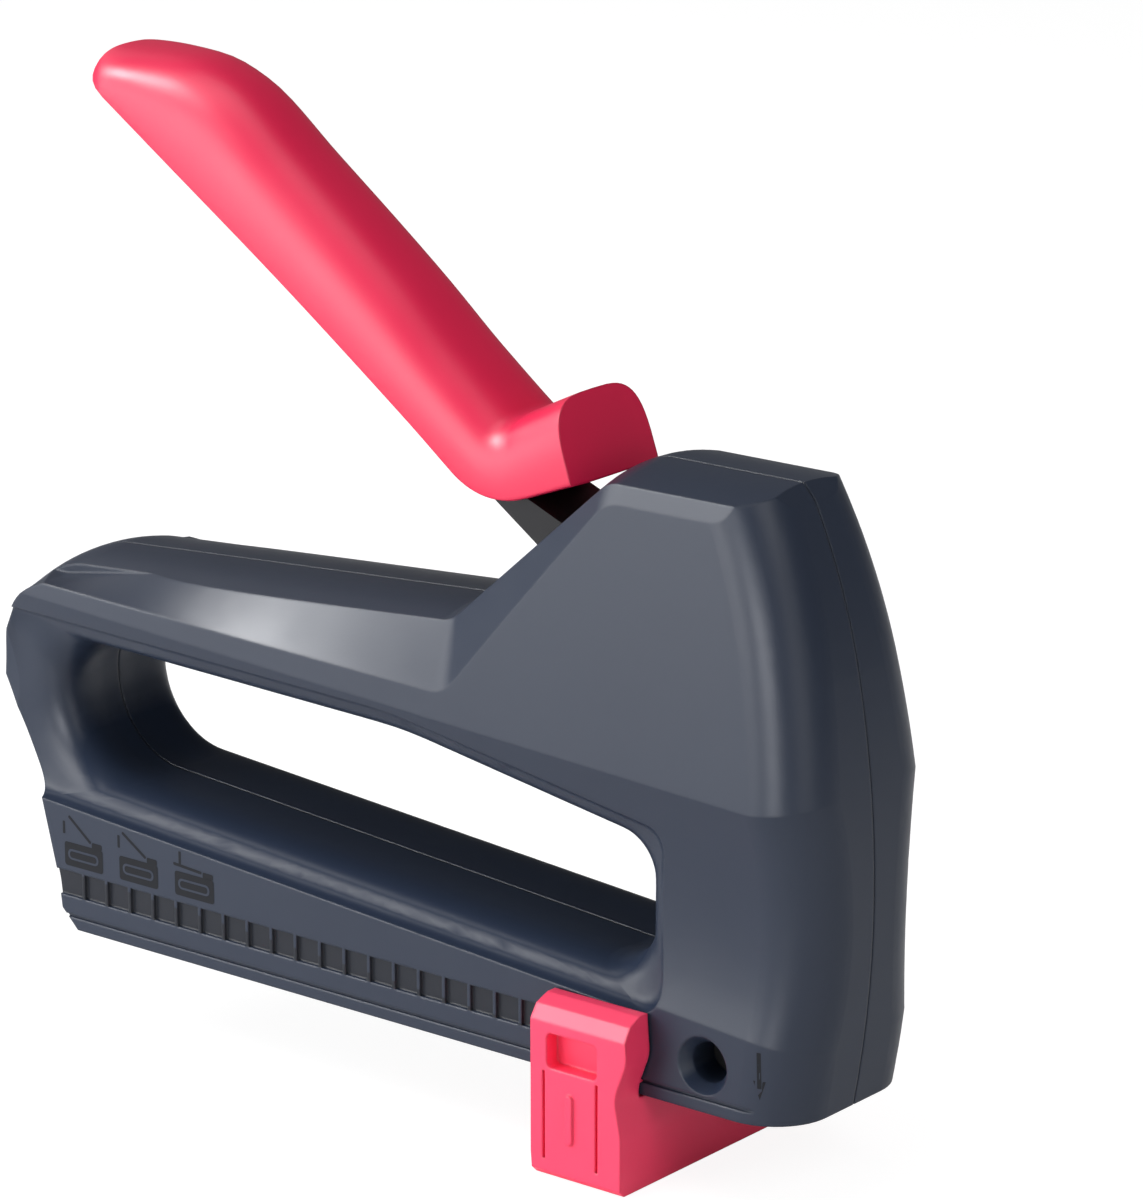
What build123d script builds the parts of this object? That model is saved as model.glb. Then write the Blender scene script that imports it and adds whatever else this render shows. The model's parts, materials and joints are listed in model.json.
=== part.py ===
"""Hand staple gun: moulded half-shells, squeeze lever, spring-driven striker, slide-out magazine
and an edge guide that clicks along a detent rail.

Frame, in millimetres: the origin is the centre of the staple exit on the sole. +X points to the
nose, +Z up, and the XZ plane is the joint between the two half-shells.
"""
import os
from math import cos, radians, sin, sqrt, tan

from build123d import *

os.makedirs("parts", exist_ok=True)

# ---------------------------------------------------------------- driving dimensions
crease_half_width = 17.5      # the widest line of the housing
flange_half_width = 16.5      # the base flange that the edge guide straddles
top_half_width = 12.0         # gently crowned top of head and handle, between the facets
draft = 0.1                   # lean of the upper sides, mm in per mm up
crease_nose_z = 48.0
crease_rise = tan(radians(2.7))
flange_nose_z = 13.0
flange_rise = tan(radians(4.6))
waist_half_width = 14.7       # narrowest width between crease and flange
nose_radius = 9.5
top_z = 93.4
crown_radius = 45.0           # outer faces are crowned across the tool, in the middle
crown_limit = 12.0            # and run straight on from here to the sides
mouth_start_y = 10.2          # from here to the sides the finger opening flares into its mouths
mouth_flare = 0.13
rear_mouth_flare = 1.35       # the flare's extra reach behind the fingers

seam_width, seam_depth = 0.3, 0.35
cell_pitch = 5.0              # the detent rail
cell_count = 23
cell_front_x = -24.0
cell_low_z, cell_high_z = 5.5, 9.7
cell_depth = 0.6
cell_rib = 0.6

pivot_x, pivot_z = -36.3, 69.6
lever_angle = 34.5            # the open lever's slope
pivot_pin_radius = 3.0
running_fit = 0.05

arm_half_width = 7.0
arm_gauge = 1.5
arm_length = 95.0             # from the pivot to the arm's end inside the grip
grip_half_width = 10.5
grip_heights = ((0, 13.0), (27, 15.9), (54, 14.2), (80, 12.1), (115, 13.2))  # by length from tip
grip_corner_x, grip_corner_z = -55.7, 83.1
grip_length = 98.6            # from the bend's corner to the tip
grip_bend_radius = 15.0
foot_angle = 19.0             # the foot's slope, the other way
foot_length = 17.8            # from the bend's corner to the end face
grip_screws_along = (45, 80)  # from the pivot

blade_thickness = 1.2
blade_half_width = 5.4
channel_half_width = 7.0
channel_gauge = 0.9
channel_roof_z = 11.4
channel_front_x = -0.8
channel_rear_x = -137.4
core_half_width = 4.7
core_roof_z = 9.2
rod_z = 4.9
rod_radius = 1.2

lift_pin_x, lift_pin_z, lift_pin_radius = -13.8, 56.1, 2.0
drive_axis_x = -11.5
plunger_low_z, plunger_high_z = 50.0, 60.0
cap_low_z, cap_high_z = 86.5, 89.0

guide_inner_half = 16.9
guide_outer_half = 22.6
guide_low_z = -14.5

blade_slot = blade_thickness / 2 + 0.15
cavity_half_width = 9.0
arm_slot_half_width = 7.9
screw_spots = ((-133.0, 17.0), (-64.0, 56.5), (-25.0, 82.0), (-9.5, 33.0))
front_screw = (-9.5, 7.3)      # holds the magazine channel, deep in a funnel on the near side
front_screw_seat = 8.0
funnel_radius, funnel_depth = 4.6, 2.0
chamber_floor_z = 45.2
pin_socket_half = 11.5         # half the length of the socket that the pivot pin sits in
head_plane_y = 11.5            # where the housing screws' heads bear
screw_radius, screw_head_radius, screw_head_height = 1.5, 3.0, 2.0
boss_radius = 3.4


def crease_z(x):
    """Height of the crease at x: it climbs a little towards the rear."""
    return crease_nose_z - x * crease_rise


def flange_z(x):
    """Height of the base flange's upper edge at x."""
    return flange_nose_z - x * flange_rise


def crown_drop(y):
    """How far the crowned outer faces have fallen away at y."""
    near = min(abs(y), crown_limit)
    slope = near / sqrt(crown_radius**2 - near**2)
    return crown_radius - sqrt(crown_radius**2 - near**2) + slope * (abs(y) - near) * 0.75


def mouth_drop(y):
    """How far the finger opening's wall has flared at y."""
    return mouth_flare * max(0.0, abs(y) - mouth_start_y)**2


# ---------------------------------------------------------------- housing form
def rounded_outline(y, corners, inset):
    """A closed side view at y from (x, z, radius) corners, moved in by inset, radii to suit."""
    with BuildSketch(Plane.XZ.offset(y)) as section:
        Polygon(*[(x, z) for x, z, radius in corners], align=None)
        if inset:
            offset(amount=-inset, kind=Kind.INTERSECTION)
        for x, z, radius in corners:
            if radius:
                corner = section.vertices().sort_by_distance((x, z, 0))[0]
                fillet(corner, radius=abs(radius - inset))
    return section.sketch


def facet_section(plane, handle_mid, foot, shoulder, foot_radius, shoulder_radius):
    """One edge of the long facet that runs up the handle, the head's back and over its top."""
    rear = (-141, 57.35)
    with BuildSketch(plane) as section:
        with BuildLine():
            ThreePointArc(rear, handle_mid, foot)
            Polyline(foot, shoulder, (15, shoulder[1]), (15, 120), (-165, 120), (-165, rear[1]),
                     rear)
        make_face()
        for corner, radius in ((foot, foot_radius), (shoulder, shoulder_radius)):
            fillet(section.vertices().sort_by_distance((*corner, 0))[0], radius=radius)
    return section.sketch


with BuildPart() as envelope:                     # drafted sides, crease, waist and flange
    for x in (-165, 20):
        with BuildSketch(Plane.YZ.offset(x)):
            zc, zf = crease_z(x), flange_z(x)
            with BuildLine():
                Polyline((0, -5), (flange_half_width - 0.1, -5), (flange_half_width, zf))
                ThreePointArc((flange_half_width, zf), (waist_half_width, (zf + zc) / 2),
                              (crease_half_width, zc))
                Polyline((crease_half_width, zc), (crease_half_width - draft * (100 - zc), 100),
                         (0, 100))
                mirror(about=Plane.YZ)
            make_face()
    loft(ruled=True)

with BuildPart() as facets:                       # what the chamfers take off both upper edges
    for side in (-1, 1):
        inner_plane = Plane.XZ.offset(side * (top_half_width - 1.5))
        outer_plane = Plane.XZ.offset(side * 18)
        inner_edge = facet_section(inner_plane, (-110, 62.5), (-61.2, 67.75), (-30.6, 94.8), 2, 6)
        outer_edge = facet_section(outer_plane, (-100, 55.15), (-57.9, 53.2), (-29.5, 80.3), 7, 7)
        loft(sections=[inner_edge, outer_edge], ruled=True)

opening_corners = (                               # x, z and radius in the middle of the tool
    (-140.6, 47.3, -7), (-70, 45.5, -80), (-21.8, 37.9, -8), (-21.8, 17.3, -9), (-140.6, 25.8, -14))

with BuildPart() as finger_opening:               # straight in the middle, flared to its mouths
    sections = []
    for y in (-18, -16, -14, -12, -10, -5, 0, 5, 10, 12, 14, 16, 18):
        drop = mouth_drop(y)
        flared = [(x - rear_mouth_flare * drop * (x < -100), z, radius)
                  for x, z, radius in opening_corners]
        sections.append(rounded_outline(y, flared, -drop))
    loft(sections=sections)

crown_corners = (                                 # x, z and radius in the middle of the tool
    (20, -6, 0), (20, top_z + 0.3, 0), (-31.3, top_z - 0.15, 7), (-61.5, 66.45, -3),
    (-151.9, 59.6, 17), (-154.0, 39.2, 0), (-145.9, 22.8, 20), (-142.0, 7.5, 10),
    (-141.3, 2.0, 0), (-133.3, -6, 0))

with BuildPart() as crown:                        # top and rear bulge a little in the middle
    sections = []
    for y in (-18, -12, -6, 0, 6, 12, 18):
        sections.append(rounded_outline(y, crown_corners, crown_drop(y)))
    loft(sections=sections)

with BuildSketch(Plane.XZ) as nose_outline:       # the bellied nose and its brow, from the side
    with BuildLine():
        belly = ThreePointArc((6.1, 0), (9.3, 33.1), (6.0, 66.6))
        brow = TangentArc((6.0, 66.6), (-2.2, 91.0), tangent=belly % 1)
        Polyline((-2.2, 91.0), (-4.4, top_z + 0.1), (-60, top_z + 3), (-160, top_z),
                 (-160, 0), (6.1, 0))
    make_face()

with BuildPart() as housing:
    extrude(nose_outline.sketch, amount=20, both=True)
    add(envelope.part, mode=Mode.INTERSECT)
    nose_edges = edges().filter_by(
        lambda e: e.center().X > 0 and abs(e.center().Y) > 12 and abs(e.tangent_at(0.5).Z) > 0.8)
    fillet(nose_edges, radius=nose_radius)
    add(crown.part, mode=Mode.INTERSECT)
    add(facets.part, mode=Mode.SUBTRACT)
    add(finger_opening.part, mode=Mode.SUBTRACT)
    cells_x = cell_front_x - cell_pitch * cell_count / 2
    cells_z = (cell_low_z + cell_high_z) / 2
    for side in (-1, 1):                          # detent cells, and the groove over the lip
        with BuildSketch(Plane.XZ.offset(side * (flange_half_width - cell_depth))):
            with Locations((cells_x, cells_z)):
                with GridLocations(cell_pitch, 1, cell_count, 1):
                    Rectangle(cell_pitch - cell_rib, cell_high_z - cell_low_z)
            with Locations((cells_x - cell_pitch * cell_count / 2, cells_z)):
                Rectangle(cell_pitch, cell_high_z - cell_low_z)      # the last is open behind
        extrude(amount=side * 3, mode=Mode.SUBTRACT)
        with BuildSketch(Plane.XZ.offset(side * (flange_half_width - 0.5))):
            with Locations((-68, 2.2)):
                Rectangle(144, 0.5)
        extrude(amount=side * 3, mode=Mode.SUBTRACT)

with BuildSketch(Plane.XZ) as split_outline:      # the whole housing where its halves meet
    add(nose_outline.sketch)
    add(rounded_outline(0, crown_corners, 0), mode=Mode.INTERSECT)
    add(rounded_outline(0, opening_corners, 0), mode=Mode.SUBTRACT)

with BuildPart() as seam_groove:                  # the fine gap between them
    with BuildSketch(Plane.XZ):
        offset(split_outline.sketch, amount=0.5)
        offset(split_outline.sketch, amount=-seam_depth, mode=Mode.SUBTRACT)
    extrude(amount=seam_width / 2, both=True)

# ---------------------------------------------------------------- what the shells are hollowed for

with BuildPart() as hollows:
    with BuildSketch(Plane.XZ):                   # the mechanism's chamber in the head
        Polygon((1.2, chamber_floor_z), (1.2, 74.5), (-4.4, 86.3), (-4.4, cap_high_z), (-20.5, cap_high_z),
                (-20.5, 86.3), (-29.0, 85.0), (-36.0, 79.3), (-46.0, 71.0), (-46.0, 61.6),
                (-42.0, 60.6), (-24.0, 46.9), (-21.0, chamber_floor_z), align=None)
    extrude(amount=cavity_half_width, both=True)
    with BuildSketch(Plane.XZ):                   # the boss of the upper screw stands in it
        with Locations(screw_spots[2]):
            Circle(boss_radius)
    extrude(amount=cavity_half_width, both=True, mode=Mode.SUBTRACT)
    with BuildSketch(Plane.XZ):                   # the slot that the lever's arm leaves by
        Polygon((-36.0, 79.3), (-53.0, 92.0), (-75.0, 92.0), (-75.0, 66.9), (-60.8, 66.9),
                (-46.0, 61.6), (-36.0, 64.0), align=None)
    extrude(amount=arm_slot_half_width, both=True)
    with BuildSketch(Plane.XZ):                   # the slot that the striker blade runs in
        with Locations((0, 20)):
            Rectangle(2 * blade_slot, 60)
    extrude(amount=blade_half_width + 0.2, both=True)
    with BuildSketch(Plane.XZ):                   # the seat of the nose plate, in front of it
        with Locations((blade_slot + 0.5, 11)):
            Rectangle(1.0, 26)
    extrude(amount=8.0, both=True)
    with BuildSketch(Plane.XZ):                   # the seat of the magazine channel
        with Locations(((channel_front_x - 150) / 2, (channel_roof_z - 5) / 2)):
            Rectangle(150 + channel_front_x, channel_roof_z + 5)
    extrude(amount=channel_half_width, both=True)
    with BuildSketch(Plane.XZ):                   # blind sockets for the pivot pin
        with Locations((pivot_x, pivot_z)):
            Circle(pivot_pin_radius)
    extrude(amount=pin_socket_half, both=True)
    for x0, x1, roof in ((-96.0, -68.0, 61.2), (-128.0, -99.0, 58.6)):
        with BuildSketch(Plane.XZ):               # the handle is hollow either side of a rib
            Polygon((x0, 49.6), (x0, roof - 2.0), (x1, roof), (x1, 49.6), align=None)
        extrude(amount=cavity_half_width, both=True)

with BuildPart() as screw_holes:                  # five from the far side, a deep one from the near
    with BuildSketch(Plane.XZ.offset(-20)):
        with Locations(*screw_spots):
            Circle(screw_radius)
    extrude(amount=28)
    with BuildSketch(Plane.XZ.offset(-20)):
        with Locations(*screw_spots):
            Circle(screw_head_radius + 0.2)
    extrude(amount=20 - head_plane_y)
    with BuildSketch(Plane.XZ.offset(20)):
        with Locations(front_screw):
            Circle(screw_radius)
    extrude(amount=-13.5)
    with BuildSketch(Plane.XZ.offset(20)):
        with Locations(front_screw):
            Circle(screw_head_radius + 0.2)
    extrude(amount=front_screw_seat - 20)
    for depth, radius in ((funnel_depth, screw_head_radius + 0.2), (-0.1, funnel_radius)):
        with BuildSketch(Plane.XZ.offset(flange_half_width - depth)):
            with Locations(front_screw):
                Circle(radius)
    loft()

with BuildPart() as half_shell:
    add(housing.part)
    split(bisect_by=Plane.XZ, keep=Keep.TOP)
    for cut in (seam_groove, hollows):
        add(cut.part, mode=Mode.SUBTRACT)

with BuildPart() as near_shell:
    add(half_shell.part)
    add(screw_holes.part, mode=Mode.SUBTRACT)
near_shell.part.label = "near_shell"
export_step(near_shell.part, "parts/near_shell.step")

with BuildPart() as far_shell:
    mirror(half_shell.part, about=Plane.XZ)
    add(screw_holes.part, mode=Mode.SUBTRACT)
far_shell.part.label = "far_shell"
export_step(far_shell.part, "parts/far_shell.step")


# ---------------------------------------------------------------- helpers for the working parts
def finish(piece, name):
    """Label a finished sub-part and write it as its own STEP file."""
    piece.part.label = name
    export_step(piece.part, f"parts/{name}.step")


rearward = Vector(-cos(radians(lever_angle)), 0, sin(radians(lever_angle)))
upward = Vector(sin(radians(lever_angle)), 0, cos(radians(lever_angle)))
footward = Vector(cos(radians(foot_angle)), 0, sin(radians(foot_angle)))
pivot = Vector(pivot_x, 0, pivot_z)
grip_corner = Vector(grip_corner_x, 0, grip_corner_z)
arm_plane = Plane(origin=pivot, x_dir=rearward, z_dir=(0, 1, 0))       # x rearward, y upward
grip_plane = Plane(origin=grip_corner, x_dir=rearward, z_dir=(0, 1, 0))

# ---------------------------------------------------------------- lever
with BuildPart() as lever_arm:                    # channel pressing with a fork at its front
    with BuildSketch(arm_plane):
        Circle(7.0)
        Polygon((arm_length, 0.1), (arm_length, 4.3), (20, 4.6), (10, 6.8), (0, 7.0), (0, -4),
                (9, 0.1), align=None)
        Polygon((-2, -6.7), (-27.5, -5.2), (-28.3, -3.3), (-27.5, -1.4), (-14, -1.4), (-5, 4.9),
                (0, 0), align=None)
    extrude(amount=arm_half_width, both=True)
    long_edges = edges().filter_by(
        lambda e: abs(e.center().Y) > arm_half_width - 0.1
        and (arm_plane.to_local_coords(e.center()).X > 15)
        and 4 < arm_plane.to_local_coords(e.center()).Y < 5)
    fillet(long_edges, radius=1.2)
    with BuildSketch(arm_plane):                  # inside: a web along the top, open below
        Polygon((arm_length + 1, -1), (arm_length + 1, 2.8), (20, 3.1), (13, 4.7), (13, 9),
                (-30, 9), (-30, -9), (10, -9), (20, -1), align=None)
    extrude(amount=arm_half_width - arm_gauge, both=True, mode=Mode.SUBTRACT)
    with BuildSketch(arm_plane):
        Circle(pivot_pin_radius + running_fit)
    extrude(amount=arm_half_width, both=True, mode=Mode.SUBTRACT)
    grip_screw_planes = [Plane(origin=pivot + rearward * along, x_dir=(0, 1, 0), z_dir=upward)
                         for along in grip_screws_along]
    for plane in grip_screw_planes:
        with BuildSketch(plane):
            Circle(screw_radius)
        extrude(amount=6, mode=Mode.SUBTRACT)
finish(lever_arm, "lever_arm")

with BuildPart() as lever_grip:                   # moulded cover, humped on top, flat below
    tip = grip_corner + rearward * grip_length
    foot_end = grip_corner + footward * foot_length
    with BuildLine() as spine:
        FilletPolyline(tip, grip_corner, foot_end, radius=grip_bend_radius)
    spine_wire = spine.wires()[0]
    for from_tip, height in grip_heights:
        place = from_tip / spine_wire.length
        with BuildSketch(Plane(origin=spine_wire @ place, x_dir=(0, 1, 0),
                               z_dir=spine_wire % place)) as arch:
            Polygon((-grip_half_width, 0), (grip_half_width, 0), (grip_half_width - 0.5, 5),
                    (9.4, height), (-9.4, height), (0.5 - grip_half_width, 5), align=None)
            fillet(arch.vertices().group_by(Axis.Y)[-1], radius=6.0)
            fillet(arch.vertices().group_by(Axis.Y)[0], radius=0.9)
    sweep(multisection=True)
    with BuildSketch(grip_plane):                 # the tip's top is rounded down to a thin edge
        with BuildLine():
            ThreePointArc((grip_length - 21, 15.6), (grip_length - 8.6, 10.4),
                          (grip_length, 2.4))
            Polyline((grip_length, 2.4), (grip_length, -1), (grip_length + 5, -1),
                     (grip_length + 5, 20), (grip_length - 21, 20),
                     (grip_length - 21, 15.6))
        make_face()
    extrude(amount=20, both=True, mode=Mode.SUBTRACT)
    with BuildSketch(Plane(origin=grip_corner, x_dir=rearward, z_dir=upward)):
        with Locations((grip_length - 75, 0)):
            RectangleRounded(150, 2 * grip_half_width + 0.02, 6.5)
    extrude(amount=45, both=True, mode=Mode.INTERSECT)
    with BuildSketch(arm_plane):                  # the arm's seat
        Polygon((arm_length + 0.5, -5), (arm_length + 0.5, 4.3), (20, 4.6), (10, 6.8), (-5, 8),
                (-5, -5), align=None)
    extrude(amount=arm_half_width, both=True, mode=Mode.SUBTRACT)
    for plane in grip_screw_planes:
        with BuildSketch(plane):
            Circle(screw_radius)
        extrude(amount=10, mode=Mode.SUBTRACT)
finish(lever_grip, "lever_grip")

with BuildPart() as grip_screws:                  # up through the web from inside the channel
    for plane in grip_screw_planes:
        with BuildSketch(plane):
            Circle(screw_radius)
        extrude(amount=9.9)
        with BuildSketch(plane.offset(0.8)):
            Circle(screw_head_radius - 0.2)
        extrude(amount=2.0)
finish(grip_screws, "grip_screws")

with BuildPart() as pivot_pin:
    with BuildSketch(Plane.XZ):
        with Locations((pivot_x, pivot_z)):
            Circle(pivot_pin_radius)
    extrude(amount=pin_socket_half - 0.1, both=True)
    chamfer(edges().filter_by(GeomType.CIRCLE), length=0.4)
finish(pivot_pin, "pivot_pin")

with BuildPart() as pivot_washers:                # spacers either side of the fork
    for side in (-1, 1):
        with BuildSketch(Plane.XZ.offset(side * (arm_half_width + 0.1))):
            with Locations((pivot_x, pivot_z)):
                Circle(5.8)
                Circle(pivot_pin_radius, mode=Mode.SUBTRACT)
        extrude(amount=side * (cavity_half_width - arm_half_width - 0.1))
finish(pivot_washers, "pivot_washers")

# ---------------------------------------------------------------- striker and drive spring
rivet_spots = [(y, 55.0) for y in (-3.2, 3.2)]
rivet_radius = 1.2
plunger_back, plunger_front = -19.5, -blade_thickness / 2

with BuildPart() as striker_blade:                # hardened strip that drives the staple
    with BuildSketch(Plane.YZ.offset(-blade_thickness / 2)):
        with Locations((0, 29.9)):
            Rectangle(2 * blade_half_width, 56.2)
        with Locations(*rivet_spots):
            Circle(rivet_radius, mode=Mode.SUBTRACT)
    extrude(amount=blade_thickness)
    fillet(edges().filter_by(Axis.X).group_by(Axis.Z)[-1], radius=1.5)
finish(striker_blade, "striker_blade")

with BuildPart() as plunger:                      # carries the blade, lifted by the cross pin
    with BuildSketch(Plane.XZ):
        Polygon((plunger_front, plunger_low_z), (plunger_front, plunger_high_z),
                (plunger_back + 2, plunger_high_z), (plunger_back, plunger_high_z - 2),
                (plunger_back, plunger_low_z + 3), (plunger_back + 3, plunger_low_z),
                align=None)
    extrude(amount=4.9, both=True)
    with BuildSketch(Plane.XZ):                   # ears that slide along the chamber's walls
        with Locations((plunger_front - 2.5, (plunger_low_z + plunger_high_z) / 2)):
            Rectangle(5, 8)
    extrude(amount=8.6, both=True)
    with BuildSketch(Plane.XZ):
        with Locations((lift_pin_x, lift_pin_z)):
            Circle(lift_pin_radius)
    extrude(amount=4.9, both=True, mode=Mode.SUBTRACT)
    with BuildSketch(Plane.YZ.offset(plunger_front)):
        with Locations(*rivet_spots):
            Circle(rivet_radius)
    extrude(amount=-3, mode=Mode.SUBTRACT)
finish(plunger, "plunger")

with BuildPart() as lift_pin:
    with BuildSketch(Plane.XZ):
        with Locations((lift_pin_x, lift_pin_z)):
            Circle(lift_pin_radius)
    extrude(amount=8.5, both=True)
    chamfer(edges().filter_by(GeomType.CIRCLE), length=0.3)
finish(lift_pin, "lift_pin")

with BuildPart() as blade_rivets:
    with BuildSketch(Plane.YZ.offset(plunger_front - 3)):
        with Locations(*rivet_spots):
            Circle(rivet_radius)
    extrude(amount=3 + blade_thickness)
finish(blade_rivets, "blade_rivets")


def coil_spring(start, axis, length, radius, wire, turns):
    """A compression spring from start along axis, as one swept wire; returns its solid."""
    height = length - 2 * wire
    with BuildPart() as spring:
        with BuildLine():
            helix = Helix(pitch=height / turns, height=height, radius=radius,
                          center=start + axis * wire, direction=axis)
        with BuildSketch(Plane(origin=helix @ 0, z_dir=helix % 0)):
            Circle(wire)
        sweep(path=helix, is_frenet=True)
    return spring


drive_spring = coil_spring(Vector(drive_axis_x, 0, plunger_high_z), Vector(0, 0, 1),
                           cap_low_z - plunger_high_z, 4.2, 0.7, 6.5)
finish(drive_spring, "drive_spring")

with BuildPart() as spring_cap:                   # upper seat, with a spigot inside the spring
    with BuildSketch(Plane.XY.offset(cap_low_z)):
        with Locations((-12.5, 0)):
            RectangleRounded(15.6, 2 * cavity_half_width - 0.2, 2)
    extrude(amount=cap_high_z - cap_low_z)
    with BuildSketch(Plane.XY.offset(cap_low_z)):
        with Locations((drive_axis_x, 0)):
            Circle(3.0)
    extrude(amount=-5)
    chamfer(edges().filter_by(GeomType.CIRCLE).group_by(Axis.Z)[0], length=0.8)
finish(spring_cap, "spring_cap")

with BuildPart() as bumper:                       # rubber block that stops the plunger
    with BuildSketch(Plane.XZ):
        with Locations((-10.8, (chamber_floor_z + plunger_low_z) / 2)):
            RectangleRounded(18, plunger_low_z - chamber_floor_z, 0.8)
    extrude(amount=4.8, both=True)
finish(bumper, "bumper")

# ---------------------------------------------------------------- nose and magazine
with BuildPart() as nose_plate:                   # hard front wall of the blade slot
    with BuildSketch(Plane.YZ.offset(blade_slot)):
        with Locations((0, 12.15)):
            RectangleRounded(16, 23.7, 1.5)
    extrude(amount=1.0)
finish(nose_plate, "nose_plate")


def channel_section(x, half_width, low_z, roof_z, wall):
    """Section at x of a channel that is open below, across the magazine."""
    mid_z = (low_z + roof_z) / 2
    with BuildSketch(Plane.YZ.offset(x)) as section:
        with Locations((0, mid_z)):
            Rectangle(2 * half_width, roof_z - low_z)
        with Locations((0, mid_z - wall)):
            Rectangle(2 * (half_width - wall), roof_z - low_z, mode=Mode.SUBTRACT)
    return section.sketch


with BuildPart() as magazine_channel:             # fixed outer channel over the staples
    extrude(channel_section(channel_rear_x, channel_half_width, 0.3, channel_roof_z,
                            channel_gauge),
            amount=channel_front_x - channel_rear_x, dir=(1, 0, 0))
    with BuildSketch(Plane.XZ.offset(channel_half_width)):
        with Locations(front_screw):
            Circle(screw_radius)
    extrude(amount=-channel_gauge, mode=Mode.SUBTRACT)
finish(magazine_channel, "magazine_channel")

core_front_x, core_rear_x = -1.2, -133.0
rod_rear_x = -136.0
with BuildPart() as core_rail:                    # the rail that the staples straddle
    extrude(channel_section(core_rear_x, core_half_width, 0.9, core_roof_z, channel_gauge),
            amount=core_front_x - core_rear_x, dir=(1, 0, 0))
    with BuildSketch(Plane.YZ.offset(core_front_x)):
        with Locations((0, 4.6)):
            Rectangle(2 * core_half_width - 1, 7.4)
        with Locations((0, rod_z)):
            Circle(rod_radius, mode=Mode.SUBTRACT)
    extrude(amount=-1.4)
    with BuildSketch(Plane.XY.offset(core_roof_z)):
        with Locations(((core_front_x - 2.0 - 128.0) / 2, 0)):
            Rectangle(128.0 + core_front_x - 2.0, 2.2)
    extrude(amount=-1.2, mode=Mode.SUBTRACT)
finish(core_rail, "core_rail")

with BuildPart() as guide_rod:
    with BuildSketch(Plane.YZ.offset(rod_rear_x)):
        with Locations((0, rod_z)):
            Circle(rod_radius)
    extrude(amount=core_front_x - 0.1 - rod_rear_x)
finish(guide_rod, "guide_rod")

with BuildPart() as end_cap:                      # closes the magazine and pulls the rail out
    with BuildSketch(Plane.YZ.offset(channel_rear_x)):
        with Locations((0, 5.6)):
            RectangleRounded(11.8, 9.4, 0.8)
    extrude(amount=core_rear_x - channel_rear_x)
    with BuildSketch(Plane.YZ.offset(rod_rear_x)):
        with Locations((0, rod_z)):
            Circle(rod_radius)
    extrude(amount=10, mode=Mode.SUBTRACT)
    for z in (2.6, 4.6, 6.6, 8.6):                # ribs for the fingernail
        with BuildSketch(Plane.YZ.offset(channel_rear_x)):
            with Locations((0, z)):
                Rectangle(8, 0.8)
        extrude(amount=0.5, mode=Mode.SUBTRACT)
finish(end_cap, "end_cap")

pusher_front_x, pusher_length = -1.4, 14.0
with BuildPart() as staple_pusher:                # saddle over the rail, threaded on the rod
    extrude(channel_section(pusher_front_x - pusher_length, 5.9, 1.3, 10.3, 1.0),
            amount=pusher_length, dir=(1, 0, 0))
    with BuildSketch(Plane.YZ.offset(pusher_front_x - pusher_length + 1)):
        with Locations((0, 7.2)):
            Rectangle(1.8, 4.6)
        with Locations((0, rod_z)):
            Circle(2.9)
    extrude(amount=6)
    with BuildSketch(Plane.YZ.offset(pusher_front_x - pusher_length)):
        with Locations((0, rod_z)):
            Circle(rod_radius + running_fit)
    extrude(amount=pusher_length, mode=Mode.SUBTRACT)
finish(staple_pusher, "staple_pusher")

spring_front_x = pusher_front_x - pusher_length + 1
pusher_spring = coil_spring(Vector(core_rear_x, 0, rod_z), Vector(1, 0, 0),
                            spring_front_x - core_rear_x, 2.1, 0.35, 18)
finish(pusher_spring, "pusher_spring")

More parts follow.
